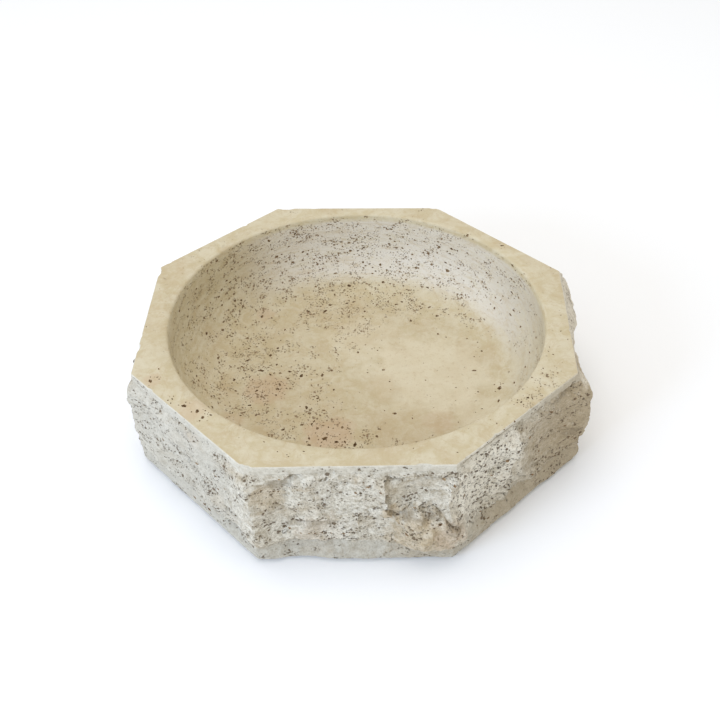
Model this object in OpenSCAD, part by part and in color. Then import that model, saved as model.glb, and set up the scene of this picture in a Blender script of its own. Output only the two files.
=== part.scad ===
// Octagonal bowl cut from one block of travertine: a honed rim, a turned round hollow
// and rock-faced sides, standing on four self-adhesive felt feet.
// Millimetres. +Z is up, -Y is the front, and the origin is on the table surface
// under the middle of the block.

/* [Block] */
// Nominal width across the flats at the honed rim
across_flats = 300; // [260:1:360]
// Overall height with the felt feet
bowl_h = 80; // [72:1:110]
// Height of the sawn margin below the rim's outer edge
margin_h = 6; // [4:0.5:9]
// How far the rock faces stand out past the sawn margin, on average
rock_out = 6; // [4:0.5:9]
// Lean of the split between the margin and the rock face, in degrees from upright
shoulder_lean = 35; // [25:1:50]
// Height of the split bevel along the bottom edge
bevel_h = 12; // [8:1:16]
// Lean of that bevel, in degrees from upright
bevel_lean = 15; // [10:1:30]

/* [Hollow] */
// Thickness of the wall at the rim, at the middle of a nominal flat
wall_t = 14; // [12:0.5:22]
// Thickness of the stone under the hollow
floor_t = 19; // [16:1:26]
// Lean of the hollow's wall, in degrees from upright
wall_draft = 4.5; // [2:0.5:10]
// Radius of the sweep from the wall to the floor
sweep_r = 40; // [20:1:40]
// Width of the eased edge around the hollow's mouth
lip_w = 0.8; // [0.4:0.1:2]

/* [Felt feet] */
// Diameter of a felt foot
foot_d = 20; // [14:1:30]
// Thickness of the felt
felt_t = 2.7; // [1.5:0.1:4]
// Thickness of the adhesive film that holds the felt to the stone
film_t = 0.3; // [0.2:0.1:0.5]
// Distance of each foot from the middle of the block
foot_reach = 95; // [70:1:105]

/* [Hidden] */

travertine = [0.82, 0.77, 0.67];
felt_brown = [0.30, 0.25, 0.20];
film_grey = [0.80, 0.80, 0.78];

stone_z = felt_t + film_t;     // underside of the stone
stone_h = bowl_h - stone_z;
rock_h = stone_h - margin_h;   // height of the rock face
overlap = 1;                   // how far solids that join run into each other
clear = 40;                    // how far cutters reach past what they cut
ball_fn = 64;
round_fn = 128;

// The block was dressed by hand, so no side sits quite where a true octagon's would.
// Sides run anticlockwise from the front: degrees turned, then millimetres moved out.
side_count = 8;
side_turn = [-0.5, -2.5, -4, -3, -2, -1, -0.5, -2];
side_trim = [-0.5, -2.5, -2.5, -4.5, -2.5, 5.5, 6, 5.5];
hollow_at = [-4, 1.5];
// How much further each rock face stands out than the average
rock_extra = [4, 2, 4, -1, 0, -2, -2, -1];

// Bites that the pitching chisel took out of each rock face, as
// [along the side, up from the stone's underside, radius, depth].
front_bites = [
    [-54, 56, 30, 9], [-50, 32, 30, 8], [-16, 52, 90, 8], [38, 56, 40, 9],
    [6, 24, 70, 7], [-24, 24, 70, 6], [-40, 6, 60, 6]
];
front_right_bites = [
    [-56, 50, 30, 8], [-30, 34, 60, 9], [30, 44, 80, 7], [38, 14, 50, 5], [2, 8, 36, 3]
];
right_bites = [
    [-36, 22, 55, 7], [-10, 50, 60, 8], [26, 30, 50, 8], [4, 12, 40, 4]
];
back_right_bites = [
    [-44, 50, 40, 6], [-18, 20, 60, 5], [16, 52, 60, 5], [44, 26, 45, 6]
];
back_bites = [
    [-48, 28, 40, 6], [-12, 50, 80, 6], [26, 20, 50, 5], [50, 54, 36, 6], [-24, 8, 36, 3]
];
back_left_bites = [
    [-46, 54, 36, 5], [-26, 20, 50, 5], [14, 42, 80, 5], [50, 22, 40, 4]
];
left_bites = [
    [-50, 26, 40, 4], [-18, 54, 55, 5], [20, 24, 60, 5], [46, 52, 40, 4]
];
front_left_bites = [
    [-44, 48, 60, 4], [-8, 30, 90, 4], [-2, 66, 30, 4], [36, 50, 80, 4], [44, 14, 50, 3]
];
bites = [
    front_bites, front_right_bites, right_bites, back_right_bites,
    back_bites, back_left_bites, left_bites, front_left_bites
];

function side_angle(i) = -90 + i * 360 / side_count + side_turn[i];
function margin_reach(i) = across_flats / 2 + side_trim[i];
function face_out(i) = rock_out + rock_extra[i];

// Where side i meets the next one, at the sawn margin or out on the rock faces
function corner(i, on_rock) =
    let (
        j = (i + 1) % side_count,
        a = side_angle(i),
        b = side_angle(j),
        ra = margin_reach(i) + (on_rock ? face_out(i) : 0),
        rb = margin_reach(j) + (on_rock ? face_out(j) : 0),
        spread = sin(b - a)
    )
    [(ra * sin(b) - rb * sin(a)) / spread, (rb * cos(a) - ra * cos(b)) / spread];

module outline(on_rock) {
    polygon([for (i = [0 : side_count - 1]) corner(i, on_rock)]);
}

module bite(spot) {
    radius = spot[2];
    depth = spot[3];
    translate([radius - depth, spot[0], stone_z + spot[1]])
        sphere(r = radius, $fn = ball_fn);
}

// Cuts away what stands outside a plane that leans in above height z,
// or below it where the lean is negative
module edge_split(z, lean) {
    translate([0, -across_flats / 2, z])
        rotate([0, -lean, 0])
            translate([0, 0, lean > 0 ? 0 : -clear])
                cube([clear, across_flats, clear]);
}

// All that the chisel took off rock face i
module rock_waste(i) {
    rotate([0, 0, side_angle(i)])
        translate([margin_reach(i) + face_out(i), 0, 0]) {
            for (spot = bites[i])
                bite(spot);
            edge_split(stone_z + rock_h - face_out(i) / tan(shoulder_lean), shoulder_lean);
            edge_split(stone_z + bevel_h, -bevel_lean);
        }
}

// The hollow's section: straight drafted wall, round sweep, flat floor
module hollow_section() {
    rim_z = bowl_h;
    floor_z = stone_z + floor_t;
    rim_r = across_flats / 2 - wall_t;
    sweep_z = floor_z + sweep_r;
    sweep_x = rim_r - (rim_z - sweep_z) * tan(wall_draft) - sweep_r / cos(wall_draft);
    tangent_x = sweep_x + sweep_r * cos(wall_draft);
    tangent_z = sweep_z - sweep_r * sin(wall_draft);
    above = rim_z + clear;
    polygon([
        [0, floor_z], [sweep_x, floor_z], [sweep_x, sweep_z], [tangent_x, tangent_z],
        [rim_r, rim_z], [rim_r, above], [0, above]
    ]);
    intersection() {
        translate([sweep_x, sweep_z])
            circle(r = sweep_r, $fn = round_fn);
        polygon([
            [sweep_x - overlap, floor_z - overlap], [sweep_x + sweep_r, floor_z - overlap],
            [tangent_x, tangent_z], [sweep_x, sweep_z], [sweep_x - overlap, sweep_z]
        ]);
    }
    polygon([
        [rim_r - lip_w, rim_z - 2 * lip_w], [rim_r + lip_w, rim_z],
        [rim_r + lip_w, above], [0, above], [0, rim_z - 2 * lip_w]
    ]);
}

// The rough block: rock faces below, sawn margin above
module block() {
    difference() {
        translate([0, 0, stone_z])
            linear_extrude(height = rock_h)
                outline(true);
        for (i = [0 : side_count - 1])
            rock_waste(i);
    }
    translate([0, 0, stone_z + rock_h - overlap])
        linear_extrude(height = margin_h + overlap)
            outline(false);
}

module stone_body() {
    color(travertine)
        difference() {
            block();
            translate([hollow_at[0], hollow_at[1], 0])
                rotate_extrude($fn = round_fn)
                    hollow_section();
        }
}

module at_foot(angle) {
    rotate([0, 0, angle])
        translate([foot_reach, 0, 0])
            children();
}

module felt_foot(angle) {
    color(felt_brown)
        at_foot(angle)
            cylinder(h = felt_t, d = foot_d, $fn = round_fn);
}

module adhesive_film(angle) {
    color(film_grey)
        at_foot(angle)
            translate([0, 0, felt_t])
                cylinder(h = film_t, d = foot_d, $fn = round_fn);
}

stone_body();
felt_foot(225);  // felt_foot_front_left
felt_foot(315);  // felt_foot_front_right
felt_foot(45);  // felt_foot_back_right
felt_foot(135);  // felt_foot_back_left
adhesive_film(225);  // adhesive_film_front_left
adhesive_film(315);  // adhesive_film_front_right
adhesive_film(45);  // adhesive_film_back_right
adhesive_film(135);  // adhesive_film_back_left
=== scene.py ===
import math
import random

import bpy
from mathutils import Matrix, Vector, noise
from mathutils.bvhtree import BVHTree


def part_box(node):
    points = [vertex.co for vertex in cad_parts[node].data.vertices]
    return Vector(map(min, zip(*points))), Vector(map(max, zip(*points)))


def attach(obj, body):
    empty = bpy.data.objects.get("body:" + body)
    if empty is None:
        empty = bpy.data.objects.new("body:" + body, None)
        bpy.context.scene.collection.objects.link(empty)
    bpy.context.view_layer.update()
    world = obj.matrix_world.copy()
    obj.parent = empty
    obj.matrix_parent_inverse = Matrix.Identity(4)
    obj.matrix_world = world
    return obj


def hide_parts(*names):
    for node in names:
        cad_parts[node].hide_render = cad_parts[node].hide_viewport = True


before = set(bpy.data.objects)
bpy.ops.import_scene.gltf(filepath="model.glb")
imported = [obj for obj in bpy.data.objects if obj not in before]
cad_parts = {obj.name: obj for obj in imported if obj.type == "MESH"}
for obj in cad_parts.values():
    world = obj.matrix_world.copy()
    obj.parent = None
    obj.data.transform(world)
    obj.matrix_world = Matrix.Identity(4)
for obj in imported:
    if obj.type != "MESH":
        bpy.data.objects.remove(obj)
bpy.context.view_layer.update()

mm = 0.001
up = Vector((0, 0, 1))
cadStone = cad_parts["stone_body"]
stoneLow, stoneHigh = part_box("stone_body")
noise.seed_set(3)                     # noise_vector follows the clock without it


def pickOnly(obj):
    for other in bpy.context.selected_objects:
        other.select_set(False)
    obj.select_set(True)
    bpy.context.view_layer.objects.active = obj


def editMode(obj):
    pickOnly(obj)
    bpy.ops.object.mode_set(mode='EDIT')
    bpy.ops.mesh.select_mode(type='VERT')


def objectMode():
    bpy.ops.object.mode_set(mode='OBJECT')


def selectWhere(obj, test):
    # comes out in edit mode with only the vertices that pass the test selected
    editMode(obj)
    bpy.ops.mesh.select_all(action='DESELECT')
    objectMode()
    for vertex in obj.data.vertices:
        vertex.select = test(vertex.co)
    bpy.ops.object.mode_set(mode='EDIT')


def extrudeBy(x=0.0, z=0.0):
    bpy.ops.mesh.extrude_region_move(TRANSFORM_OT_translate={"value": (x, 0, z)})


def facesOutwards():
    # in edit mode
    bpy.ops.mesh.select_all(action='SELECT')
    bpy.ops.mesh.normals_make_consistent(inside=False)


def applied(obj, kind, **settings):
    pickOnly(obj)
    modifier = obj.modifiers.new(kind.title(), kind)
    for name, value in settings.items():
        setattr(modifier, name, value)
    bpy.ops.object.modifier_apply(modifier=modifier.name)


def placeInMesh(obj):
    pickOnly(obj)
    bpy.ops.object.transform_apply(location=True, rotation=True, scale=True)


def ownCopy(obj, name):
    twin = obj.copy()
    twin.data = obj.data.copy()
    twin.name = name
    bpy.context.scene.collection.objects.link(twin)
    return twin


def removeObject(obj):
    mesh = obj.data
    bpy.data.objects.remove(obj)
    bpy.data.meshes.remove(mesh)


def smoothStep(low, high, value):
    t = min(max((value - low) / (high - low), 0.0), 1.0)
    return t * t * (3 - 2 * t)


class Wire:
    # one output socket, so that shader maths reads as an expression
    def __init__(self, tree, socket):
        self.tree = tree
        self.socket = socket

    def calc(self, operation, first, second=None):
        node = self.tree.nodes.new("ShaderNodeMath")
        node.operation = operation
        for index, value in enumerate((first, second)):
            if isinstance(value, Wire):
                self.tree.links.new(value.socket, node.inputs[index])
            elif value is not None:
                node.inputs[index].default_value = value
        return Wire(self.tree, node.outputs[0])

    def __add__(self, other):
        return self.calc('ADD', self, other)

    def __radd__(self, other):
        return self.calc('ADD', other, self)

    def __sub__(self, other):
        return self.calc('SUBTRACT', self, other)

    def __rsub__(self, other):
        return self.calc('SUBTRACT', other, self)

    def __mul__(self, other):
        return self.calc('MULTIPLY', self, other)

    def __rmul__(self, other):
        return self.calc('MULTIPLY', other, self)

    def __truediv__(self, other):
        return self.calc('DIVIDE', self, other)

    def __abs__(self):
        return self.calc('ABSOLUTE', self)


class Finish:
    # one material; places in it are in millimetres
    def __init__(self, name):
        self.material = bpy.data.materials.new(name)
        self.material.use_nodes = True
        self.tree = self.material.node_tree
        self.tree.nodes.clear()
        self.place = self.make("ShaderNodeTexCoord", {}, {}, "Object")

    def make(self, kind, settings, values, output=0):
        node = self.tree.nodes.new(kind)
        for name, value in settings.items():
            setattr(node, name, value)
        for name, value in values.items():
            if isinstance(value, Wire):
                self.tree.links.new(value.socket, node.inputs[name])
            else:
                node.inputs[name].default_value = value
        return Wire(self.tree, node.outputs[output]) if node.outputs else None

    def surface(self, **values):
        # the shader, joined to the material's output
        named = {name.replace("_", " "): value for name, value in values.items()}
        shader = self.make("ShaderNodeBsdfPrincipled", {}, named)
        self.make("ShaderNodeOutputMaterial", {}, {"Surface": shader})
        return self.material

    def millimetres(self, flat=1.0):
        # object coordinates in millimetres; flat packs them closer in height, as the bedding is
        return self.make("ShaderNodeVectorMath", {"operation": 'MULTIPLY'},
                         {0: self.place, 1: (1 / mm, 1 / mm, flat / mm)})

    def axis(self, index):
        return self.make("ShaderNodeSeparateXYZ", {}, {0: self.millimetres()}, index)

    def cloud(self, size, detail=4.0, rough=0.55, flat=1.0, bend=0.0, seed=0.0):
        # cloudy value about 0.5; size is a cloud's width
        where = self.make("ShaderNodeVectorMath", {"operation": 'ADD'},
                          {0: self.millimetres(flat), 1: (seed, seed * 1.7, seed * 0.6)})
        return self.make("ShaderNodeTexNoise", {},
                         {"Vector": where, "Scale": 1 / size, "Detail": detail,
                          "Roughness": rough, "Distortion": bend})

    def step(self, value, low, high):
        # 0 to 1 as value goes from low to high
        return self.make("ShaderNodeMapRange", {"interpolation_type": 'SMOOTHSTEP'},
                         {"Value": value, "From Min": low, "From Max": high})

    def blend(self, factor, first, second):
        under, over = [value if isinstance(value, Wire) else (*value, 1) for value in (first, second)]
        return self.make("ShaderNodeMix", {"data_type": 'RGBA'}, {0: factor, 6: under, 7: over}, 2)

    def patch(self, centre, radius, ragged=0.5, size=9.0, flat=1.0):
        # 1 inside a ragged patch about a point
        x, y, z = centre
        away = self.make("ShaderNodeVectorMath", {"operation": 'DISTANCE'},
                         {0: self.millimetres(flat), 1: (x, y, z * flat)}, "Value")
        edge = away / radius + (self.cloud(size, detail=3) - 0.5) * (ragged * 2)
        return 1 - self.step(edge, 0.6, 1.15)

    def pinholes(self, spacing, radius, clusters, flat=1.0):
        # 1 in small ragged pits; clusters, from 0 to 1, says how much they open up
        where = self.millimetres(flat)
        swirl = self.make("ShaderNodeTexNoise", {},
                          {"Vector": where, "Scale": 1.4 / spacing, "Detail": 2.0}, "Color")
        wobble = self.make("ShaderNodeVectorMath", {"operation": 'SUBTRACT'}, {0: swirl, 1: (0.5, 0.5, 0.5)})
        bent = self.make("ShaderNodeVectorMath", {"operation": 'MULTIPLY_ADD'},
                         {0: wobble, 1: (spacing * 0.8,) * 3, 2: where})
        cells = {"Vector": bent, "Scale": 1 / spacing, "Randomness": 1.0}
        away = self.make("ShaderNodeTexVoronoi", {}, cells, "Distance")
        draw = self.make("ShaderNodeTexVoronoi", {}, cells, "Color")
        luck = self.make("ShaderNodeSeparateXYZ", {}, {0: draw})
        reach = (luck * 0.9 + 0.35) * clusters * radius
        return 1 - self.step(away - reach, -0.06, 0.02)

    def bump(self, height, strength, distance, under=None):
        values = {"Height": height, "Strength": strength, "Distance": distance * mm}
        if under:
            values["Normal"] = under
        return self.make("ShaderNodeBump", {}, values)


honedLook = {
    "cream": (0.530, 0.452, 0.284),
    "pale": (0.612, 0.550, 0.398),
    "paleAndPaintedLight": (0.705, 0.635, 0.470),
    "tan": (0.470, 0.360, 0.205),
    "pink": (0.520, 0.350, 0.225),
    "backWallPaintedLight": (0.715, 0.675, 0.600),
    "rightWallPaintedShade": (0.470, 0.430, 0.345),
    "hole": (0.245, 0.150, 0.075),
    "roughness": 0.52,
    "ironStains": (   # centre and radius in millimetres, strength
        ((-73, -13, 22), 18, 0.45), ((-25, -62, 22), 19, 0.55),
        ((-96, -46, 26), 10, 0.25), ((-78, 76, 28), 9, 0.35), ((54, -52, 22), 13, 0.28),
        ((-111, -97, 80), 11, 0.30), ((-141, -67, 80), 7, 0.30)),
    # the pale floor clouds are partly pale stone and partly painted light on the floor of the hollow
    "floorCloudsAndPaintedLight": (  # centre and radius, colour, strength
        ((52, 2, 22), 46, "paleAndPaintedLight", 0.60), ((4, 40, 22), 30, "paleAndPaintedLight", 0.35),
        ((14, -18, 22), 17, "tan", 0.35), ((34, -66, 22), 24, "tan", 0.30),
        ((84, -40, 24), 22, "paleAndPaintedLight", 0.40), ((-30, -30, 22), 22, "tan", 0.20)),
}


def honedTravertine():
    look = honedLook
    f = Finish("honed_travertine")
    drift = f.cloud(46, detail=5, rough=0.6, flat=1.6, bend=0.6)
    mottle = f.cloud(13, detail=6, rough=0.62, flat=2.2, bend=0.8, seed=31)
    bedding = f.cloud(24, rough=0.6, flat=7, bend=0.3, seed=12)
    grain = f.cloud(1.1, detail=3, rough=0.7, flat=1.4, seed=5)
    body = f.blend(f.step(mottle, 0.36, 0.66), look["cream"], look["pale"])
    body = f.blend(f.step(drift, 0.50, 0.68) * 0.45, body, look["tan"])
    # painted light: the back wall of the hollow, which faces the cool window light, is painted greyer
    inside = f.step(f.axis(2), 77, 73) * f.step(f.axis(2), 25, 34)
    back = inside * f.step(f.axis(1) + f.axis(0) * 0.40, 35, 100)
    body = f.blend(back * 0.85, body, look["backWallPaintedLight"])
    # painted shade: the right wall of the hollow is painted a darker grey
    right = inside * f.step(f.axis(0) - abs(f.axis(1)) * 0.4, 60, 110)
    body = f.blend(right * 0.45, body, look["rightWallPaintedShade"])
    body = f.blend(f.step(bedding, 0.52, 0.66) * 0.30, body, look["tan"])
    body = f.blend(f.step(bedding, 0.50, 0.34) * 0.45, body, look["pale"])
    vein = 1 - f.step(abs(f.cloud(30, detail=5, rough=0.6, flat=2.5, bend=1.2, seed=77) - 0.5), 0.004, 0.020)
    body = f.blend(vein * 0.32, body, look["tan"])
    for centre, radius, amount in look["ironStains"]:
        body = f.blend(f.patch(centre, radius) * amount, body, look["pink"])
    # painted light: the pale clouds lift the shade on the floor of the hollow, and the tan ones are stone
    # colour
    for centre, radius, colour, amount in look["floorCloudsAndPaintedLight"]:
        body = f.blend(f.patch(centre, radius, ragged=0.7, size=14) * amount, body, look[colour])
    body = f.blend((grain - 0.5) * 0.5 + 0.10, body, look["tan"])
    speckle = f.cloud(3.4, rough=0.7, flat=1.6, bend=0.3, seed=44)
    body = f.blend(f.step(speckle, 0.54, 0.68) * 0.40, body, look["tan"])
    body = f.blend(f.step(speckle, 0.46, 0.32) * 0.42, body, look["pale"])
    # pinholes crowd the left, the back wall and the right front of the rim, and spare the middle right
    crowd = f.cloud(15, rough=0.65, flat=2.2, bend=0.6, seed=9) + f.step(f.axis(0), 40, -90) * 0.04
    crowd = crowd + f.step(f.axis(1), 30, 100) * 0.05
    crowd = crowd - f.patch((50, 0, 22), 70, ragged=0.35, size=18) * 0.20
    crowd = crowd - f.step(f.axis(2), 78, 79.5) * 0.16
    crowd = crowd + f.patch((108, -74, 80), 30, ragged=0.4) * 0.18
    fine = f.pinholes(2.6, 0.36, f.step(crowd, 0.46, 0.65), flat=1.5)
    tiny = f.pinholes(1.6, 0.34, f.step(crowd + (drift - 0.5) * 0.4, 0.44, 0.63), flat=1.3)
    holes = fine + tiny * 0.7
    body = f.blend(0.42 - f.step(grain, 0.28, 0.50) * 0.42, body, look["tan"])
    body = f.blend(holes * 0.85, body, look["hole"])
    soft = f.bump(grain + mottle * 0.6, 0.4, 0.14)
    return f.surface(Base_Color=body, Roughness=look["roughness"] + (mottle - 0.5) * 0.25,
                     Normal=f.bump(1 - holes, 1.0, 0.7, soft), Specular_IOR_Level=0.35)


splitLook = {
    "grey": (0.575, 0.520, 0.412),
    "white": (0.760, 0.705, 0.590),
    "panelPaintedLight": (0.880, 0.825, 0.700),
    "arrisWearAndHighlight": (0.740, 0.700, 0.585),
    "sawn": (0.520, 0.480, 0.390),
    "bevel": (0.430, 0.400, 0.330),
    "clean": (0.530, 0.490, 0.405),
    "tan": (0.450, 0.350, 0.215),
    "ochre": (0.530, 0.395, 0.225),
    "pink": (0.600, 0.475, 0.345),
    "dustAndPaintedShade": (0.280, 0.225, 0.150),
    "hole": (0.150, 0.100, 0.055),
    "roughness": 0.82,
    "stainsAndPaintedLight": (       # centre and radius in millimetres, colour, strength
        ((34, -158, 22), 24, "ochre", 0.55), ((52, -156, 26), 14, "pink", 0.60),
        ((16, -157, 44), 8, "ochre", 0.60), ((-30, -156, 24), 18, "pink", 0.35),
        ((-18, -158, 22), 13, "white", 0.55), ((-62, -150, 56), 12, "ochre", 0.45),
        ((-96, -128, 30), 8, "ochre", 0.50), ((84, -132, 44), 26, "pink", 0.35),
        ((80, -134, 52), 36, "panelPaintedLight", 1.00), ((134, -90, 42), 36, "tan", 0.45),
        ((-132, -96, 56), 18, "white", 0.50), ((-112, -118, 74), 9, "pink", 0.50),
        ((-20, 152, 40), 30, "ochre", 0.35), ((-150, 20, 30), 26, "pink", 0.35),
        ((160, 15, 72), 60, "panelPaintedLight", 0.60), ((154, -64, 74), 9, "panelPaintedLight", 0.80)),
    # painted shade: dark patches in the deep places under the ledges
    "paintedShadeUnderLedges": (      # deep places under the ledges: centre, radius, strength
        ((-54, -154, 66), 12, 0.60), ((-12, -157, 68), 9, 0.35), ((36, -157, 69), 10, 0.40),
        ((-58, -152, 46), 9, 0.35), ((-30, -158, 32), 12, 0.40), ((24, -160, 43), 9, 0.55),
        ((40, -160, 42), 8, 0.55), ((56, -158, 30), 8, 0.55), ((62, -152, 58), 9, 0.40),
        ((134, -84, 72), 9, 0.55), ((144, -76, 32), 8, 0.45), ((-89, -139, 15), 7, 0.60),
        ((112, -106, 30), 12, 0.30)),
}


def splitTravertine():
    look = splitLook
    f = Finish("split_travertine")
    drift = f.cloud(30, detail=5, rough=0.6, flat=1.8, bend=0.5, seed=3)
    crumbs = f.cloud(4.5, detail=5, rough=0.7, flat=1.5, bend=0.3, seed=21)
    grit = f.cloud(1.3, detail=3, rough=0.75, flat=1.2, seed=8)
    bedding = f.cloud(16, detail=5, rough=0.65, flat=6, bend=0.4, seed=40)
    body = f.blend(f.step(crumbs, 0.34, 0.68), look["grey"], look["white"])
    body = f.blend(f.step(drift, 0.50, 0.70) * 0.45, body, look["tan"])
    body = f.blend(f.step(bedding, 0.54, 0.70) * 0.30, body, look["tan"])
    rust = f.step(f.cloud(12, rough=0.6, flat=1.2, bend=0.6, seed=66), 0.60, 0.72)
    body = f.blend(rust * 0.35, body, look["ochre"])
    # painted shade: the block is painted warmer tan towards its right hand sides, which the window light
    # misses
    body = f.blend(f.step(f.axis(0), 90, 150) * 0.75, body, look["tan"])
    # the ochre, pink and white patches are stone colour; the panel patches are painted light, and the tan
    # patch at the right front is painted shade
    for centre, radius, colour, amount in look["stainsAndPaintedLight"]:
        body = f.blend(f.patch(centre, radius, ragged=0.7, size=6) * amount, body, look[colour])
    # painted shade, in the dust colour, in the deep places under the ledges
    for centre, radius, amount in look["paintedShadeUnderLedges"]:
        body = f.blend(f.patch(centre, radius, ragged=0.8, size=4, flat=2.6) * amount, body, look["dustAndPaintedShade"])
    body = f.blend(f.step(crumbs, 0.53, 0.66) * 0.22, body, look["white"])
    body = f.blend(f.step(crumbs, 0.46, 0.32) * 0.30, body, look["tan"])
    # the sawn margin is smooth, the arris above it is rubbed white with a painted highlight, the bottom bevel
    # is painted darker as shade
    margin = f.step(f.axis(2) + (crumbs - 0.5) * 4, 73.2, 74.6)
    rubbedAndHighlit = f.step(f.axis(2) + (crumbs - 0.5) * 1.5, 78.9, 79.3)
    bevel = f.step(f.axis(2) + (drift - 0.5) * 16 + (crumbs - 0.5) * 6, 16.5, 14.0)
    scored = (1 - f.step(abs(f.axis(2) - 76.8), 0.3, 0.9)) * f.step(f.axis(1), -100, -108)
    scored = scored * f.step(f.axis(0), 54, 60) * f.step(f.axis(0), 99, 95)
    body = f.blend(margin * 0.45, body, look["sawn"])
    # painted shade: the bottom bevel, which faces down and in, is painted darker, and warmer on the right
    body = f.blend(bevel * 0.60, body, look["bevel"])
    body = f.blend(bevel * f.step(f.axis(0), 55, 90) * 0.55, body, look["tan"])
    body = f.blend(scored * 0.6, body, look["dustAndPaintedShade"])
    broken = (1 - margin * 0.50) * (1 - bevel * 0.25)
    # the low parts of the broken grain hold dust and painted shade, least of all on the panel of painted
    # light at the right front
    low = f.step(grit + (crumbs - 0.5) * 0.5, 0.56, 0.36)
    # painted light: the panel at the right front, and the tops of the lumps on the right, are painted paler
    # where light falls on them
    panelPaintedLight = f.patch((82, -134, 46), 34, ragged=0.4)
    body = f.blend(low * broken * (0.45 - panelPaintedLight * 0.25), body, look["dustAndPaintedShade"])
    # the left front side broke cleanly, and is coloured a darker grey
    clean = f.step(f.axis(0) - f.axis(1) * 0.2, -45, -75) * f.step(f.axis(1), 20, -20)
    body = f.blend(clean * 0.55, body, look["clean"])
    crowd = f.cloud(13, rough=0.65, flat=1.8, bend=0.5, seed=14) + clean * 0.02 - margin * 0.04
    crowd = crowd - bevel * 0.02 + panelPaintedLight * 0.11
    fine = f.pinholes(2.9, 0.38, f.step(crowd, 0.43, 0.60), flat=1.5)
    tiny = f.pinholes(1.6, 0.36, f.step(crowd + (drift - 0.5) * 0.3, 0.41, 0.60), flat=1.3)
    holes = (fine + tiny * 0.75) * (1 - rubbedAndHighlit)
    body = f.blend(holes * 0.85, body, look["hole"])
    # rubbed wear and painted highlight: the arris is painted paler
    body = f.blend(rubbedAndHighlit * 0.25, body, look["arrisWearAndHighlight"])
    rough = f.bump((grit + crumbs * 1.8) * broken, 1.0, 0.75)
    return f.surface(Base_Color=body, Roughness=look["roughness"] + (crumbs - 0.5) * 0.2,
                     Normal=f.bump(1 - holes, 1.0, 1.1, rough), Specular_IOR_Level=0.25)


poreLook = {"deep": (0.300, 0.195, 0.105), "shallow": (0.470, 0.345, 0.205), "roughness": 0.85}


def poreWall():
    look = poreLook
    f = Finish("pore_wall")
    tone = f.cloud(2.5, rough=0.65, seed=17)
    body = f.blend(f.step(tone, 0.35, 0.7), look["deep"], look["shallow"])
    return f.surface(Base_Color=body, Roughness=look["roughness"], Normal=f.bump(tone, 0.8, 0.4),
                     Specular_IOR_Level=0.2)


sawnLook = {
    "cream": (0.600, 0.520, 0.375),
    "pale": (0.700, 0.640, 0.510),
    "mark": (0.520, 0.440, 0.300),
    "hole": (0.150, 0.100, 0.055),
    "roughness": 0.78,
}


def sawnTravertine():
    # the underside: straight saw marks across a pale, unfilled face
    look = sawnLook
    f = Finish("sawn_travertine")
    mottle = f.cloud(16, detail=6, rough=0.62, bend=0.7, seed=4)
    marks = f.make("ShaderNodeTexWave", {"wave_type": 'BANDS', "bands_direction": 'Y'},
                   {"Vector": f.millimetres(), "Scale": 0.16, "Distortion": 1.2,
                    "Detail": 3.0, "Detail Scale": 0.2}, "Fac")
    body = f.blend(f.step(mottle, 0.36, 0.66), look["cream"], look["pale"])
    body = f.blend(marks * 0.25, body, look["mark"])
    crowd = f.step(f.cloud(17, detail=3, rough=0.6, bend=0.4, seed=9), 0.46, 0.60)
    holes = f.pinholes(3.0, 0.34, crowd)
    body = f.blend(holes * 0.85, body, look["hole"])
    return f.surface(Base_Color=body, Roughness=look["roughness"],
                     Normal=f.bump(1 - holes, 0.8, 0.6, f.bump(marks + mottle, 0.4, 0.25)),
                     Specular_IOR_Level=0.25)


feltLook = {
    "dark": (0.060, 0.045, 0.035),
    "pale": (0.165, 0.130, 0.098),
    "tuft": (0.120, 0.094, 0.070),
    "roughness": 0.95,
}


def pressedFelt():
    look = feltLook
    f = Finish("pressed_felt")
    fibres = f.cloud(0.55, detail=6, rough=0.75, flat=1.6, bend=2.2, seed=2)
    tufts = f.cloud(2.4, rough=0.6, bend=0.8, seed=6)
    body = f.blend(f.step(fibres, 0.30, 0.72), look["dark"], look["pale"])
    body = f.blend(f.step(tufts, 0.45, 0.75) * 0.5, body, look["tuft"])
    return f.surface(Base_Color=body, Roughness=look["roughness"], Normal=f.bump(fibres + tufts, 0.9, 0.25),
                     Sheen_Weight=0.4, Sheen_Roughness=0.6, Specular_IOR_Level=0.1)


filmLook = {"dull": (0.640, 0.620, 0.560), "clear": (0.740, 0.730, 0.690), "roughness": 0.28}


def adhesiveFilm():
    look = filmLook
    f = Finish("adhesive_film")
    ripple = f.cloud(3.5, detail=3, rough=0.5, bend=0.5, seed=1)
    body = f.blend(f.step(ripple, 0.35, 0.7), look["dull"], look["clear"])
    return f.surface(Base_Color=body, Roughness=look["roughness"] + (ripple - 0.5) * 0.2,
                     Normal=f.bump(ripple, 0.3, 0.05), Coat_Weight=0.2)


stoneWork = {
    "rimRadius": 136 * mm,            # the hollow's mouth
    "hollowAt": (-4 * mm, 1.5 * mm),
    "floorThick": 19 * mm,
    "wallDraft": math.radians(4.5),
    "sweepRadius": 40 * mm,
    "lipWidth": 0.8 * mm,
    "marginHeight": 6 * mm,
    "ringPoints": 704,
    "rowHeight": 1.4 * mm,
    "edgeStep": 0.5 * mm,
    "topEase": 0.9970,                # how far the top and bottom edges draw in
    "bottomEase": 0.998,
    "spinSteps": 150,
    "sweepSteps": 14,
    "sharpFrom": math.radians(34),    # edges steeper than this stay sharp
}


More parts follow.
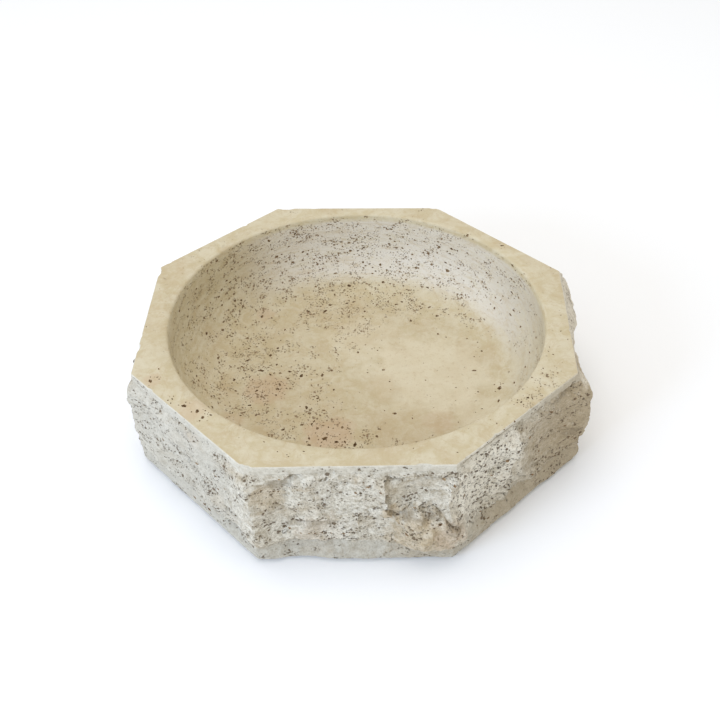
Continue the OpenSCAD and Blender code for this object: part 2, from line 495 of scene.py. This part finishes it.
def rimCorners():
    # the eight outer corners of the honed rim, read off the frame
    mouth = Vector(stoneWork["hollowAt"])
    past = stoneWork["rimRadius"] + 4 * mm
    found = []
    for vertex in cadStone.data.vertices:
        if vertex.co.z > stoneHigh.z - 0.01 * mm and (vertex.co.xy - mouth).length > past:
            if all((vertex.co.xy - other).length > mm for other in found):
                found.append(vertex.co.xy.copy())
    return sorted(found, key=lambda c: math.atan2(c.y, c.x))


def ringWall(corners):
    # a tall drum of fine rows, drawn in on to the frame's stone
    work = stoneWork
    bottom = stoneLow.z + work["edgeStep"]
    top = stoneHigh.z - work["edgeStep"]
    rows = round((top - bottom) / work["rowHeight"])
    drum = 1.25 * stoneHigh.xy.length / math.sqrt(2)
    bpy.ops.mesh.primitive_circle_add(vertices=work["ringPoints"], radius=drum,
                                      fill_type='NOTHING', location=(0, 0, bottom))
    stone = bpy.context.object
    stone.name = "travertine_bowl"
    placeInMesh(stone)
    # the nearest point of the ring is turned on to each corner, so that corners stay sharp
    for corner in corners:
        aim = corner.to_3d().normalized() * drum + up * bottom
        nearest = min(stone.data.vertices, key=lambda v: (v.co - aim).length)
        nearest.co = aim
    editMode(stone)
    bpy.ops.mesh.select_all(action='SELECT')
    for _ in range(rows):
        extrudeBy(z=(top - bottom) / rows)
    facesOutwards()
    objectMode()
    applied(stone, 'SHRINKWRAP', target=cadStone, wrap_method='PROJECT',
            use_negative_direction=True, use_positive_direction=True)
    return stone


# sides are counted anticlockwise from the front; lengths are in millimetres, turns in degrees
rockWork = {
    "sideRoughness": (0.95, 0.9, 0.45, 0.8, 0.85, 0.8, 0.65, 0.4),
    # ledges where the stone broke off, by side: middle along the side and up, half length,
    # turn, drop below the line, how soon it recovers
    "ledges": {
        0: ((-56, 70, 20, 12, 4.6, 11), (-22, 69, 14, -5, 2.6, 7), (34, 70, 24, 3, 2.4, 10),
            (-60, 50, 14, 34, 2.4, 8), (-30, 35, 22, -4, 3.0, 7), (-4, 46, 12, 6, 1.4, 5),
            (13, 54, 20, 90, 3.2, 28), (24, 43, 10, 35, -4.2, 22), (39, 44, 9, -30, -4.4, 20),
            (53, 33, 11, -46, -4.0, 20), (20, 24, 9, 70, -3.0, 24), (-34, 16, 30, 2, 1.4, 9)),
        1: ((-66, 48, 42, 86, 4.4, 30), (-13, 46, 44, 84, 3.0, 16), (-56, 64, 12, -20, 2.0, 10),
            (-40, 44, 16, 12, 1.8, 7), (-30, 22, 16, -14, 2.4, 10), (38, 72, 14, 4, 3.0, 9),
            (46, 36, 14, -30, 2.2, 10), (14, 56, 16, 14, 1.4, 8), (6, 24, 18, -8, 1.6, 9)),
        7: ((-4, 75, 12, -18, -1.8, 9), (24, 17, 22, -6, 1.6, 8), (-36, 48, 20, 5, 0.9, 10),
            (38, 52, 16, -12, 1.2, 9), (36, 16, 7, 10, 2.6, 5)),
    },
    "fewestLedges": 8,
    "ledgeSeed": 7,
    "ledgeStrength": 1.2,
    # flakes over all the rock: size, tilt, step; then pits: spacing, depth
    "flakes": ((21, 3.4, 0.8), (8, 1.3, 0.4)),
    "pits": ((4.6, 0.9), (2.9, 0.8)),
    # lumps that stand proud: middle x, y, z, radius, height
    "lumps": ((152, -64, 71, 17, 6.5), (155, -70, 50, 26, 3.0), (157, 56, 73, 26, 4.6),
              (159, 20, 72, 30, 3.4), (159, -14, 60, 22, 2.0), (-158, -60, 60, 14, 1.5),
              (38, -158, 24, 16, 1.5), (154, -72, 30, 16, 2.0)),
    # knocks along the arris: x, y, radius, depth
    "chips": ((-62, 149, 8, 1.8), (-152, 60, 8, 1.8), (-38, 153, 6, 1.0), (97, -119, 5, 1.3),
              (152, -62, 6, 1.2), (-74, -149, 4, 0.9), (-118, -112, 5, 1.0), (64, 147, 6, 1.1)),
    # the line scored along half of one margin: side, from, to, how far below the rim, depth
    "scored": (1, -70, -14, 3.2, 0.9),
    # the bevel along the bottom: where it starts and where it is full, above the base, its depth,
    # and how far its toe comes back out
    "bevelTop": 13,
    "bevelFull": 11.5,
    "bevelDepth": 0.7,
    "toe": 2.6,
}


def facet(point, size, tilt, drop):
    # flat flakes of random slope and depth, as stone breaks
    spot = point / size
    near = noise.voronoi(spot)[1][0]
    slope = noise.cell_vector(near * 7.3) - Vector((0.5, 0.5, 0.5))
    return slope.dot(spot - near) * tilt + (noise.cell(near * 3.7) - 0.5) * drop


def sideLedges():
    # sides with too few ledges get the rest from a seeded draw
    work = rockWork
    draw = random.Random(work["ledgeSeed"])
    ledges = {}
    for side in range(8):
        own = list(work["ledges"].get(side, ()))
        while len(own) < work["fewestLedges"]:
            turn = draw.choice((0, 0, 0, 90)) + draw.uniform(-16, 16)
            own.append((draw.uniform(-52, 52), draw.uniform(14, 70), draw.uniform(10, 24), turn,
                        draw.choice((-1, 1, 1)) * draw.uniform(1.2, 3.0), draw.uniform(6, 18)))
        ledges[side] = [(*where, math.radians(turn), drop, fall) for *where, turn, drop, fall in own]
    return ledges


def brokenBack(ledges, u, z):
    # how far out the ledges of one side put a place on it
    push = 0.0
    for number, (middle, level, half, turn, drop, fall) in enumerate(ledges):
        along = (u - middle) * math.cos(turn) + (z - level) * math.sin(turn)
        if abs(along) > half:
            continue
        over = (z - level) * math.cos(turn) - (u - middle) * math.sin(turn)
        over += noise.noise(Vector((along * 0.11, number * 7, 3))) * 5.0
        over += noise.noise(Vector((along * 0.35, number * 7, 8))) * 2.2
        ends = smoothStep(half, half * 0.6, abs(along))
        if over < 0:
            push -= drop * math.exp(over / fall) * ends
        elif drop > 0:
            push += drop * 0.25 * math.exp(-over / 3) * ends
        # a dark cut opens along the line itself, more so along the bedding
        push -= abs(drop * math.cos(turn)) * 0.5 * smoothStep(1.8, 0.3, abs(over)) * ends
    return push


def rockGrain(laid):
    # waves, flakes, crumbs and clustered pits, as millimetres outwards
    wide, narrow = rockWork["flakes"]
    push = noise.fractal(laid * 0.021, 0.9, 2.1, 3) * 1.2
    push += facet(laid, *wide)
    push += facet(laid + Vector((40, 11, 3)), *narrow)
    push += noise.fractal(laid * 0.28, 0.8, 2.2, 3) * 0.42
    cluster = smoothStep(-0.15, 0.30, noise.noise(laid * 0.06 + Vector((3, 3, 8))))
    for spacing, depth in rockWork["pits"]:
        away = noise.voronoi(laid / spacing)[0][0]
        push -= (1 - smoothStep(0.08, 0.40, away)) * depth * cluster
    return push


def arrisChip(p, out, high):
    # small nibbles all along the arris, and the listed knocks
    chip = smoothStep(0.34, 0.62, noise.noise(out * 22 + Vector((1, 5, 2))))
    chip *= smoothStep(high - 4.5, high - 0.4, p.z) * 1.1
    for x, y, radius, depth in rockWork["chips"]:
        near = smoothStep(radius, radius * 0.3, math.hypot(p.x - x, p.y - y))
        chip += near * depth * smoothStep(high - 5, high - 1, p.z)
    return chip


def nearestSide(p):
    # a place's own side, the side past its nearer corner, and how near that corner is, from 0 to 1
    around = (math.degrees(math.atan2(p.y, p.x)) + 90) / 45 % 8
    side = round(around) % 8
    following = (side + (1 if around > round(around) else -1)) % 8
    return side, following, abs(around - round(around)) * 2


def chisel(stone):
    # works the rock faces: grain, ledges and lumps, and chips along the arris
    work = rockWork
    high = stoneHigh.z / mm
    low = stoneLow.z / mm
    bevelTop = low + work["bevelTop"]
    bevelFull = low + work["bevelFull"]
    ledges = sideLedges()
    scoredSide, scoredFrom, scoredTo, scoredBelow, scoredDeep = work["scored"]
    for vertex in stone.data.vertices:
        p = vertex.co / mm
        out = Vector((p.x, p.y, 0)).normalized()
        side, following, share = nearestSide(p)
        rough = (work["sideRoughness"][side] * (1 - share / 2)
                 + work["sideRoughness"][following] * share / 2)
        turn = math.radians(45 * side)
        u = p.x * math.cos(turn) + p.y * math.sin(turn)
        bent = p + noise.noise_vector(p * 0.06) * 4
        laid = Vector((bent.x, bent.y, bent.z * 1.5))
        # where the split starts under the margin, and where breaks bite up into it
        nick = smoothStep(0.22, 0.6, noise.noise(p * 0.045 + Vector((9, 2, 5)))) * 3
        edge = high - stoneWork["marginHeight"] / mm + 0.8 * noise.noise(out * 12) + nick
        rock = smoothStep(edge + 0.4, edge - 2.2, p.z)
        foot = smoothStep(low - 1, low + 4, p.z)
        push = rockGrain(laid) * rough
        push += brokenBack(ledges[side], u, p.z) * work["ledgeStrength"] * smoothStep(1.0, 0.8, share)
        proud = sum(height * smoothStep(radius, 0, math.dist(p, (x, y, z)))
                    for x, y, z, radius, height in work["lumps"]) * smoothStep(high - 0.5, high - 4, p.z)
        # the split bevel is dressed a little further in, and its toe a little out
        bevel = (smoothStep(bevelTop, bevelFull, p.z) * work["bevelDepth"]
                 - smoothStep(bevelTop, low, p.z) * work["toe"])
        sawn = noise.noise(p * 0.12) * 0.10
        if side == scoredSide and scoredFrom < u < scoredTo:
            sawn -= scoredDeep * smoothStep(1.3, 0.4, abs(p.z - (high - scoredBelow)))
        worked = (push * (0.22 + 0.78 * foot) - bevel) * rock + proud + sawn - arrisChip(p, out, high)
        vertex.co += out * mm * worked


def closeBlock(stone):
    # straight edge strips above and below the worked rows, then the two flat faces
    work = stoneWork
    step = work["edgeStep"]
    for level, shift, ease in ((stoneHigh.z, step, work["topEase"]), (stoneLow.z, -step, work["bottomEase"])):
        edge = level - shift
        selectWhere(stone, lambda co: abs(co.z - edge) < 0.01 * mm)
        extrudeBy(z=shift)
        bpy.ops.transform.resize(value=(ease, ease, 1), center_override=(0, 0, level))
        bpy.ops.mesh.edge_face_add()
        objectMode()
    editMode(stone)
    facesOutwards()
    objectMode()


def hollowOutline():
    # half of the hollow's section, from the middle of the floor to above the mouth
    work = stoneWork
    draft = work["wallDraft"]
    mouth = work["rimRadius"]
    lip = work["lipWidth"]
    sweep = work["sweepRadius"]
    floor = stoneLow.z + work["floorThick"]
    rim = stoneHigh.z
    centre = floor + sweep
    reach = mouth - (rim - centre) * math.tan(draft) - sweep / math.cos(draft)
    line = [(reach * share, floor) for share in (0, 0.2, 0.4, 0.6, 0.8, 0.92)]
    for i in range(work["sweepSteps"] + 1):
        turn = (math.pi / 2 - draft) * i / work["sweepSteps"]
        line.append((reach + sweep * math.sin(turn), centre - sweep * math.cos(turn)))
    bend = line[-1]
    under = (mouth - lip, rim - 2 * lip)
    for share in (0.25, 0.5, 0.75):
        line.append((bend[0] + (under[0] - bend[0]) * share, bend[1] + (under[1] - bend[1]) * share))
    above = rim + 4 * mm
    line += [under, (mouth - 0.25 * lip, rim - 0.8 * lip), (mouth + lip, rim), (mouth + 4 * mm, above),
             (0, above)]
    return line


def hollowCore():
    # the turned hollow as a solid core: its section is drawn by extruding a point, then spun
    line = hollowOutline()
    x, y = stoneWork["hollowAt"]
    bpy.ops.mesh.primitive_plane_add(size=mm, location=(x, y, line[0][1]))
    core = bpy.context.object
    core.name = "hollow_core"
    placeInMesh(core)
    editMode(core)
    bpy.ops.mesh.merge(type='CENTER')
    for (fromX, fromZ), (toX, toZ) in zip(line, line[1:]):
        extrudeBy(x=toX - fromX, z=toZ - fromZ)
    bpy.ops.mesh.select_all(action='SELECT')
    bpy.ops.mesh.spin(steps=stoneWork["spinSteps"], angle=2 * math.pi, center=(x, y, 0), axis=(0, 0, 1))
    bpy.ops.mesh.select_all(action='SELECT')
    bpy.ops.mesh.remove_doubles(threshold=0.01 * mm)
    facesOutwards()
    objectMode()
    return core


poreWork = {
    "seed": 41,
    # scattered pores: how many, radius from and to in millimetres, flattest and roundest shape
    "wall": (690, (0.32, 1.45), (0.50, 0.95)),
    "floor": (400, (0.34, 1.35), (0.6, 1.1)),
    "rim": (120, (0.28, 0.80), (0.5, 1.0)),
    "sides": (340, (0.45, 1.5), (0.45, 0.9)),
    "base": (40, (0.6, 2.0), (0.6, 1.0)),
    "shapes": 6,                      # different seeds of each kind
    "largeFrom": 1.1 * mm,            # pores from this half width on are cut with the finer seeds
    "satellites": 5,                  # small holes about each big pit
    # where pores crowd in the floor and the foot of the walls: x, y, radius, how much
    "crowds": ((-80, -8, 44, 1.0), (-86, 46, 34, 0.8), (-22, -66, 24, 1.0), (-5, 104, 44, 1.0),
               (58, 88, 32, 0.8), (0, 25, 34, 0.35), (94, -50, 14, 0.6), (-50, -60, 30, 0.5)),
    # the pits that stand out, as middle x, y, z, radius, all in millimetres
    "bigPits": (
        (-90, 20, 22, 1.9), (-78, 8, 22, 2.6), (-98, -2, 23, 2.0), (-80, -15, 22, 1.8),
        (-84, -31, 22, 1.8), (-72, 26, 22, 1.9), (-56, 6, 22, 1.9), (-47, 1, 22, 2.4),
        (-31, 1, 22, 2.0), (-63, -9, 22, 1.8), (-42, -35, 22, 2.4), (-34, -25, 22, 1.6),
        (-28, -67, 22, 2.7), (-20, -71, 22, 2.0), (-7, -74, 22, 2.7), (-14, -71, 22, 1.6),
        (-44, 82, 23, 2.0), (-26, 90, 24, 2.2), (-12, 92, 24, 1.8), (-10, 112, 26, 2.4),
        (-2, 110, 26, 3.0), (34, 92, 24, 1.6), (-30, 82, 22, 2.2), (101, -20, 25, 2.6),
        (62, 72, 22, 2.0), (40, 66, 22, 1.6), (-20, 20, 22, 1.2), (20, -8, 22, 1.2),
        (-142, -68, 80, 2.3), (-138, -64, 80, 1.2), (-116, -93, 80, 2.4), (-125, -86, 80, 1.2),
        (-107, -98, 80, 2.1), (-103, -104, 80, 1.9), (-98, -102, 80, 1.3), (106, -92, 80, 1.4),
        (101, -96, 80, 1.2), (112, 86, 80, 1.8), (52, 142, 80, 1.2)),
    # long splits in the rock faces, as middle x, y, z, half length, half height
    "slits": (
        (-30, -158, 24, 6.5, 1.2), (-10, -158, 24, 5.0, 1.0), (26, -158, 36, 6.0, 1.0),
        (44, -158, 34, 7.0, 1.1), (58, -154, 22, 5.0, 1.0), (-58, -154, 60, 6.0, 1.2),
        (-40, -156, 64, 4.0, 0.9), (-112, -120, 12, 5.0, 1.6), (124, -106, 62, 8.0, 1.4),
        (136, -92, 40, 5.0, 1.0), (146, -80, 26, 4.0, 1.0), (-6, -157, 62, 4.0, 0.8),
        (120, 110, 50, 8.0, 1.2), (10, 152, 34, 7.0, 1.2), (-120, 118, 46, 8.0, 1.2),
        (-160, -10, 52, 7.0, 1.2), (158, 0, 30, 6.0, 1.2)),
}


def poreShapes(kind):
    # a few lumpy seeds that every pore is copied from: plain ones for the small, finer for the large
    shapes = []
    for number in range(poreWork["shapes"]):
        if kind == "small":
            bpy.ops.mesh.primitive_uv_sphere_add(segments=6, ring_count=4, radius=1, location=(0, 0, 0))
        else:
            bpy.ops.mesh.primitive_ico_sphere_add(subdivisions=2, radius=1, location=(0, 0, 0))
        seed = bpy.context.object
        for vertex in seed.data.vertices:
            vertex.co *= 1 + 0.7 * noise.noise(vertex.co * 1.5 + Vector((number * 9, 4, 1)))
        shapes.append(seed)
    return shapes


class PoreField:
    # pores that never overlap each other, so that the cut stays clean
    def __init__(self, stone):
        self.skin = BVHTree.FromObject(stone, bpy.context.evaluated_depsgraph_get())
        self.shapes = {kind: poreShapes(kind) for kind in ("small", "large")}
        self.taken = {}
        self.found = []
        self.random = random.Random(poreWork["seed"])
        self.cell = 8 * mm

    def room(self, spot, radius):
        key = [math.floor(c / self.cell) for c in spot]
        near = [(i, j, k) for i in (-1, 0, 1) for j in (-1, 0, 1) for k in (-1, 0, 1)]
        for i, j, k in near:
            for other, reach in self.taken.get((key[0] + i, key[1] + j, key[2] + k), ()):
                if (spot - other).length < (radius + reach) * 1.05:
                    return False
        self.taken.setdefault(tuple(key), []).append((spot.copy(), radius))
        return True

    def add(self, start, across, along, deep, sunk):
        # across: half width on the surface, along: half width the other way, deep: half depth
        spot, normal, _, _ = self.skin.find_nearest(start)
        middle = spot - normal * deep * sunk
        if not self.room(middle, max(across, along, deep) * 1.25):
            return False
        level = normal.cross(up)
        if level.length < 0.3:       # on flat faces pores point any way
            turn = self.random.uniform(0, math.pi)
            level = Vector((math.cos(turn), math.sin(turn), 0))
        level = (level - normal * level.dot(normal)).normalized()
        other = normal.cross(level)
        shape = Matrix((level * across, other * along, normal * deep)).transposed()
        seed = self.random.choice(self.shapes["small" if across < poreWork["largeFrom"] else "large"])
        spin = Matrix.Rotation(self.random.uniform(0, 2 * math.pi), 3, 'Z')
        pore = ownCopy(seed, "pore")
        pore.data.transform((shape @ spin).to_4x4())
        pore.data.transform(Matrix.Translation(middle))
        self.found.append(pore)
        return True

    def scatter(self, kind, pick, chance):
        # keeps trying places from pick until enough pores are in
        count, (low, high), flat = poreWork[kind]
        made = 0
        for _ in range(count * 40):
            if made >= count:
                break
            start = pick(self.random)
            if self.random.random() > chance(start / mm):
                continue
            size = (low + (high - low) * self.random.random() ** 3) * mm
            stretch = self.random.uniform(0.9, 1.5)
            if self.add(start, size * stretch, size * self.random.uniform(*flat), size, 0.25):
                made += 1
        print("pores:", made, "scattered on the", kind)

    def cutter(self):
        for seed in self.shapes["small"] + self.shapes["large"]:
            removeObject(seed)
        pickOnly(self.found[0])
        for pore in self.found:
            pore.select_set(True)
        bpy.ops.object.join()
        return bpy.context.object


def bigPits(field):
    # small holes gather about each pit
    draw = field.random
    for x, y, z, radius in poreWork["bigPits"]:
        middle = Vector((x, y, z)) * mm
        spot, _, _, _ = field.skin.find_nearest(middle)
        size = radius * mm * 0.66
        field.add(middle, size * 1.3, size * draw.uniform(0.7, 1.0), size * 1.2, 0.3)
        for _ in range(poreWork["satellites"]):
            turn = draw.uniform(0, 2 * math.pi)
            aside = Vector((math.cos(turn), math.sin(turn), draw.uniform(-0.6, 0.6)))
            start = spot + aside * radius * mm * draw.uniform(1.3, 2.4)
            small = draw.uniform(0.30, 0.62) * mm
            field.add(start, small * 1.3, small, small * 1.2, 0.25)


def slits(field):
    # a split is a chain of short holes along the bedding
    draw = field.random
    for x, y, z, length, height in poreWork["slits"]:
        middle = Vector((x, y, z)) * mm
        level = up.cross(Vector((x, y, 0))).normalized()
        links = max(3, round(length / 1.7))
        tilt = draw.uniform(-0.25, 0.25)
        for link in range(links):
            reach = (link / (links - 1) - 0.5) * 2 * length * mm
            wander = up * (reach * tilt + draw.uniform(-0.5, 0.5) * mm)
            high = height * draw.uniform(0.5, 1.1) * mm
            field.add(middle + level * reach + wander, high * 1.25, high * 0.8, high * 1.2, 0.2)


def outFrom(centre, turn, reach, height):
    x, y = centre
    return Vector((x + reach * math.cos(turn), y + reach * math.sin(turn), height))


def spotOnRim(draw):
    turn = draw.uniform(0, 2 * math.pi)
    reach = stoneWork["rimRadius"] + draw.uniform(1.0, 26.0) * mm
    return outFrom(stoneWork["hollowAt"], turn, reach, stoneHigh.z)


def spotOnWall(draw):
    turn = draw.uniform(0, 2 * math.pi)
    rise = draw.uniform(0, 1)
    floor = stoneLow.z + stoneWork["floorThick"]
    sweep = stoneWork["sweepRadius"] * (1 - min(rise * 1.5, 1.0)) ** 2
    reach = stoneWork["rimRadius"] - sweep - 4 * mm * (1 - rise)
    return outFrom(stoneWork["hollowAt"], turn, reach, floor + (stoneHigh.z - floor) * rise)


def spotOnFloor(draw):
    turn = draw.uniform(0, 2 * math.pi)
    reach = 104 * mm * math.sqrt(draw.random())
    return outFrom(stoneWork["hollowAt"], turn, reach, stoneLow.z + stoneWork["floorThick"])


def spotOnSides(draw):
    turn = draw.uniform(0, 2 * math.pi)
    return outFrom((0, 0), turn, 165 * mm, draw.uniform(stoneLow.z + 1 * mm, stoneHigh.z - 2 * mm))


def spotOnBase(draw):
    turn = draw.uniform(0, 2 * math.pi)
    return outFrom((0, 0), turn, 145 * mm * math.sqrt(draw.random()), stoneLow.z)


def clustered(p, size, low, high, flat=1.8):
    return smoothStep(low, high, noise.noise(Vector((p.x, p.y, p.z * flat)) / size))


def rimChance(p):
    frontRight = smoothStep(60, 20, math.hypot(p.x - 112, p.y + 78))
    return 0.05 + 0.5 * clustered(p, 16, 0.1, 0.5) + 0.7 * frontRight


def wallChance(p):
    # most of the pores lie in the back wall's beds, and few in the right wall and the lip
    back = smoothStep(-40, 90, p.y)
    right = smoothStep(60, 120, p.x)
    lip = smoothStep(70, 77, p.z)
    beds = 0.35 + 0.65 * smoothStep(-0.1, 0.4, noise.noise(Vector((p.x, p.y, p.z * 6)) / 45))
    amount = (0.25 + 0.75 * back) * (1 - 0.45 * right) * (1 - 0.6 * lip) * beds
    return amount * (0.15 + 0.85 * clustered(p, 20, -0.25, 0.35, 2.5))


def floorChance(p):
    crowd = max(amount * smoothStep(radius, radius * 0.3, math.hypot(p.x - x, p.y - y))
                for x, y, radius, amount in poreWork["crowds"])
    return 0.02 + crowd * (0.15 + 0.85 * clustered(p, 11, -0.1, 0.4))


def sideChance(p):
    return 0.10 + 0.9 * clustered(p, 18, -0.1, 0.4, 2.2)


def baseChance(p):
    return clustered(p, 24, 0.0, 0.5)


def poreCutter(stone):
    field = PoreField(stone)
    bigPits(field)
    slits(field)
    field.scatter("wall", spotOnWall, wallChance)
    field.scatter("floor", spotOnFloor, floorChance)
    field.scatter("rim", spotOnRim, rimChance)
    field.scatter("sides", spotOnSides, sideChance)
    field.scatter("base", spotOnBase, baseChance)
    return field.cutter()


def travertineBowl():
    finishes = [honedTravertine(), splitTravertine(), sawnTravertine(), poreWall()]
    honed, split, sawn, pore = range(4)
    stone = ringWall(rimCorners())
    print("stone: drum drawn in on to the frame,", len(stone.data.vertices), "points")
    chisel(stone)
    closeBlock(stone)
    for finish in finishes:
        stone.data.materials.append(finish)
    for face in stone.data.polygons:
        face.material_index = split
        if abs(face.normal.z) > 0.99 and len(face.vertices) > 4:
            face.material_index = honed if face.center.z > stoneHigh.z - mm else sawn
    core = hollowCore()
    applied(stone, 'BOOLEAN', operation='DIFFERENCE', object=core, solver='MANIFOLD')
    removeObject(core)
    print("stone: hollow turned out,", len(stone.data.polygons), "faces")
    cutter = poreCutter(stone)
    for finish in finishes:
        cutter.data.materials.append(finish)
    for face in cutter.data.polygons:
        face.material_index = pore
    applied(stone, 'BOOLEAN', operation='DIFFERENCE', object=cutter, solver='MANIFOLD')
    removeObject(cutter)
    pickOnly(stone)
    bpy.ops.object.shade_smooth_by_angle(angle=stoneWork["sharpFrom"])
    triangles = sum(len(face.vertices) - 2 for face in stone.data.polygons)
    print("stone: pores cut,", triangles, "triangles")
    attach(stone, "root")
    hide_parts("stone_body")


discWork = {"edgePoints": 72, "bevelSegments": 3, "rings": 5}


def softDisc(name, low, high, roundOver, grow=0.0):
    # a disc between two corners of a box, with rounded edges and enough rings to work on
    work = discWork
    radius = (high.x - low.x) / 2 + grow
    bpy.ops.mesh.primitive_cylinder_add(vertices=work["edgePoints"], radius=radius, depth=high.z - low.z,
                                        end_fill_type='NGON', location=(low + high) / 2)
    disc = bpy.context.object
    disc.name = name
    placeInMesh(disc)
    editMode(disc)
    bpy.ops.mesh.select_all(action='DESELECT')
    bpy.ops.mesh.select_mode(type='FACE')
    objectMode()
    for face in disc.data.polygons:
        face.select = abs(face.normal.z) > 0.9
    bpy.ops.object.mode_set(mode='EDIT')
    bpy.ops.mesh.bevel(offset=roundOver, segments=work["bevelSegments"], affect='EDGES')
    objectMode()
    for face in disc.data.polygons:
        face.select = abs(face.normal.z) > 0.99 and len(face.vertices) > 4
    bpy.ops.object.mode_set(mode='EDIT')
    for _ in range(work["rings"]):
        bpy.ops.mesh.inset(thickness=radius / (work["rings"] + 2), use_individual=True)
    objectMode()
    return disc


feltWork = {"roundOver": 0.5 * mm, "lumps": 0.10 * mm, "sharpFrom": math.radians(50)}


def feltFoot(node, finish):
    work = feltWork
    low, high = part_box(node)
    foot = softDisc(node + "_pressed", low, high, work["roundOver"])
    for vertex in foot.data.vertices:
        p = vertex.co / mm
        free = smoothStep(high.z / mm, high.z / mm - 0.6, p.z)       # stays flat under the film
        lump = noise.noise_vector(p * 0.9) + noise.noise_vector(p * 2.3) * 0.5
        vertex.co += Vector((lump.x, lump.y, abs(lump.z) * 0.6)) * work["lumps"] * free
    foot.data.materials.append(finish)
    pickOnly(foot)
    bpy.ops.object.shade_smooth_by_angle(angle=work["sharpFrom"])
    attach(foot, "root")
    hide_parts(node)


filmWork = {
    "roundOver": 0.08 * mm,
    "overhang": 0.25 * mm,            # past the felt all round
    "ragged": 0.12,                   # how unevenly its edge was cut, in millimetres
    "raggedFrom": (8, 9.5),           # where that starts and is full, out from the middle
    "sharpFrom": math.radians(40),
}


def filmDisc(node, finish):
    work = filmWork
    low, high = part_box(node)
    middle = Vector(((low.x + high.x) / 2 / mm, (low.y + high.y) / 2 / mm, 0))
    film = softDisc(node + "_cut", low, high, work["roundOver"], work["overhang"])
    for vertex in film.data.vertices:
        p = vertex.co / mm
        flat = Vector((p.x, p.y, 0))
        edge = flat - middle
        uneven = noise.noise(flat * 1.6) * work["ragged"]
        vertex.co += edge.normalized() * uneven * mm * smoothStep(*work["raggedFrom"], edge.length)
    film.data.materials.append(finish)
    pickOnly(film)
    bpy.ops.object.shade_smooth_by_angle(angle=work["sharpFrom"])
    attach(film, "root")
    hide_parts(node)


def feet():
    felt = pressedFelt()
    adhesive = adhesiveFilm()
    for node in sorted(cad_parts):
        if node.startswith("felt_foot"):
            feltFoot(node, felt)
        elif node.startswith("adhesive_film"):
            filmDisc(node, adhesive)
    print("feet: felt discs and films in place")


room = {
    "floorSize": 12,
    "floorColour": (0.93, 0.93, 0.93),
    "lamps": (        # name, place, what it points at, width, power, colour
        ("window", (-1.15, -1.0, 0.62), (0, 0, 0.03), 0.7, 15, (0.56, 0.72, 1.0)),
        ("skylight", (-0.15, 0.25, 1.7), (0, 0, 0), 1.5, 8, (1.0, 0.915, 0.86))),
    "air": (0.985, 1.0, 1.0),
    "airStrength": 0.85,
}


def areaLight(name, place, aim, size, power, colour):
    lamp = bpy.data.lights.new(name, 'AREA')
    lamp.shape = 'DISK'
    lamp.size = size
    lamp.energy = power
    lamp.color = colour
    holder = bpy.data.objects.new(name, lamp)
    holder.location = place
    holder.rotation_euler = (Vector(aim) - Vector(place)).to_track_quat('-Z', 'Y').to_euler()
    bpy.context.scene.collection.objects.link(holder)


def setRoom():
    bpy.ops.mesh.primitive_plane_add(size=room["floorSize"], location=(0, 0, 0))
    floor = bpy.context.object
    floor.name = "studio_floor"
    paper = Finish("pale_paper")
    floor.data.materials.append(paper.surface(Base_Color=(*room["floorColour"], 1), Roughness=0.9,
                                              Specular_IOR_Level=0.1))
    for lamp in room["lamps"]:
        areaLight(*lamp)
    world = bpy.data.worlds.new("studio_air")
    world.use_nodes = True
    air = world.node_tree.nodes["Background"]
    air.inputs["Color"].default_value = (*room["air"], 1)
    air.inputs["Strength"].default_value = room["airStrength"]
    bpy.context.scene.world = world
    bpy.context.scene.view_settings.view_transform = 'Standard'


camera = {
    "aim": (-2.1 * mm, -50.7 * mm),   # on the level of the rim
    "distance": 636.6 * mm,
    "elevation": math.radians(40.16),
    "roll": math.radians(-1.22),
    "lens": 46.8,
    "sensor": 36,
}


def setCamera():
    lens = bpy.data.cameras.new("camera")
    lens.lens = camera["lens"]
    lens.sensor_width = camera["sensor"]
    holder = bpy.data.objects.new("camera", lens)
    back = Vector((0, -math.cos(camera["elevation"]), math.sin(camera["elevation"])))
    right = Matrix.Rotation(camera["roll"], 3, back) @ Vector((1, 0, 0))
    axes = Matrix((right, back.cross(right), back)).transposed()
    aim = Vector((*camera["aim"], stoneHigh.z))
    holder.matrix_world = Matrix.Translation(aim + back * camera["distance"]) @ axes.to_4x4()
    bpy.context.scene.collection.objects.link(holder)
    bpy.context.scene.camera = holder


setCamera()
setRoom()
travertineBowl()
feet()
